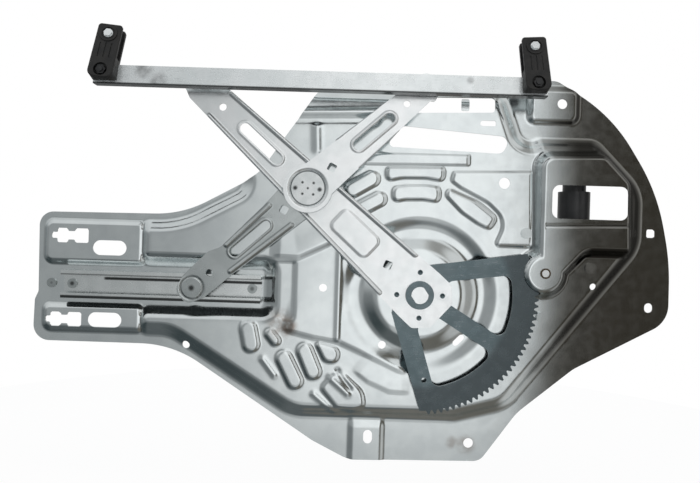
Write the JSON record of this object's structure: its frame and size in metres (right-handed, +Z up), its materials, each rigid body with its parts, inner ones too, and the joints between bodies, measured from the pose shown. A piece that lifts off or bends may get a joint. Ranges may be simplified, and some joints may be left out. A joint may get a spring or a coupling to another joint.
{
  "type": "window regulator",
  "caption": "Pressed steel carrier panel with an X-arm scissor lift, geared sector drive, motor and a lift rail with two glass clamps.",
  "frame": {"origin": "midway between the two bolt holes at the panel's outer edge, on the panel's rear face", "axes": "+X along the lift rail towards the motor side, +Z up the door, -Y out of the panel's front face"},
  "size_m": [0.6435, 0.0765, 0.4216],
  "materials": {
    "galvanised_sheet": "zinc-coated pressed sheet with light scratches",
    "bright_steel": "bright zinc plate",
    "dark_steel": "dark phosphated steel, scratched",
    "black_plastic": "moulded, satin",
    "black_paint": "satin black paint",
    "white_plastic": "natural acetal",
    "liner_rubber": "matt",
    "bronze": "sintered",
    "ferrite": "matt"
  },
  "bodies": {
    "panel": {"module_panel": "galvanised_sheet", "fixed_guide_channel": "galvanised_sheet", "guide_rivets": "bright_steel", "tab_rivet": "bright_steel", "pivot_stud": "bright_steel", "pivot_washer": "dark_steel", "gear_housing": "black_plastic", "housing_cover": "black_plastic", "pinion_bush": "bronze", "motor_screws": "bright_steel", "motor_can": "black_paint", "field_magnets": "ferrite", "motor_connector": "black_plastic", "armature": "dark_steel", "worm": "bright_steel"},
    "main_arm": {"main_arm": "galvanised_sheet", "sector_gear": "dark_steel", "sector_rivets": "dark_steel", "main_arm_pin": "bright_steel"},
    "equaliser": {"equaliser_front_arm": "galvanised_sheet", "equaliser_rear_arm": "galvanised_sheet", "centre_hub": "bright_steel", "front_arm_pin": "bright_steel", "rear_arm_pin": "bright_steel"},
    "left_shoe": {"rail_shoe_left": "white_plastic"},
    "right_shoe": {"rail_shoe_right": "white_plastic"},
    "guide_shoe": {"guide_shoe": "white_plastic"},
    "rail": {"lift_rail": "galvanised_sheet", "glass_clamp_left": "black_plastic", "glass_clamp_right": "black_plastic", "clamp_studs": "black_paint", "clamp_nuts": "black_paint", "glass_bolts": "bright_steel", "glass_nuts": "bright_steel", "glass_pads": "liner_rubber"},
    "pinion": {"pinion_shaft": "bright_steel", "worm_wheel": "white_plastic"}
  },
  "joints": [
    {"name": "arm_lift", "type": "hinge", "parent": "panel", "child": "main_arm", "pos_m": [-0.2345, -0.0205, -0.03025], "axis": [0, -1, 0], "range_deg": [-3, 86]},
    {"name": "hub_fold", "type": "hinge", "parent": "main_arm", "child": "equaliser", "pos_m": [-0.34746, -0.0205, 0.07146], "axis": [0, -1, 0], "range_deg": [-173, 7]},
    {"name": "right_shoe_turn", "type": "hinge", "parent": "equaliser", "child": "right_shoe", "pos_m": [-0.2345, -0.0355, 0.17317], "axis": [0, -1, 0], "range_deg": [-4, 87]},
    {"name": "rail_float", "type": "slide", "parent": "right_shoe", "child": "rail", "axis": [1, 0, 0], "range_m": [-0.006, 0.006]},
    {"name": "left_shoe_turn", "type": "hinge", "parent": "main_arm", "child": "left_shoe", "pos_m": [-0.46042, -0.0355, 0.17317], "axis": [0, -1, 0], "range_deg": [-87, 4]},
    {"name": "guide_shoe_turn", "type": "hinge", "parent": "equaliser", "child": "guide_shoe", "pos_m": [-0.46042, -0.007, -0.03025], "axis": [0, -1, 0], "range_deg": [-4, 87]},
    {"name": "pinion_spin", "type": "hinge", "parent": "panel", "child": "pinion", "pos_m": [-0.11205, -0.01, -0.00511], "axis": [0, -1, 0], "range_deg": [-1272.75, 58.88]}
  ],
  "couplings": [
    {"joint": "hub_fold", "follows": "arm_lift", "ratio": -2},
    {"joint": "right_shoe_turn", "follows": "arm_lift", "ratio": 1},
    {"joint": "left_shoe_turn", "follows": "arm_lift", "ratio": -1},
    {"joint": "guide_shoe_turn", "follows": "arm_lift", "ratio": 1},
    {"joint": "pinion_spin", "follows": "arm_lift", "ratio": -14.625}
  ]
}
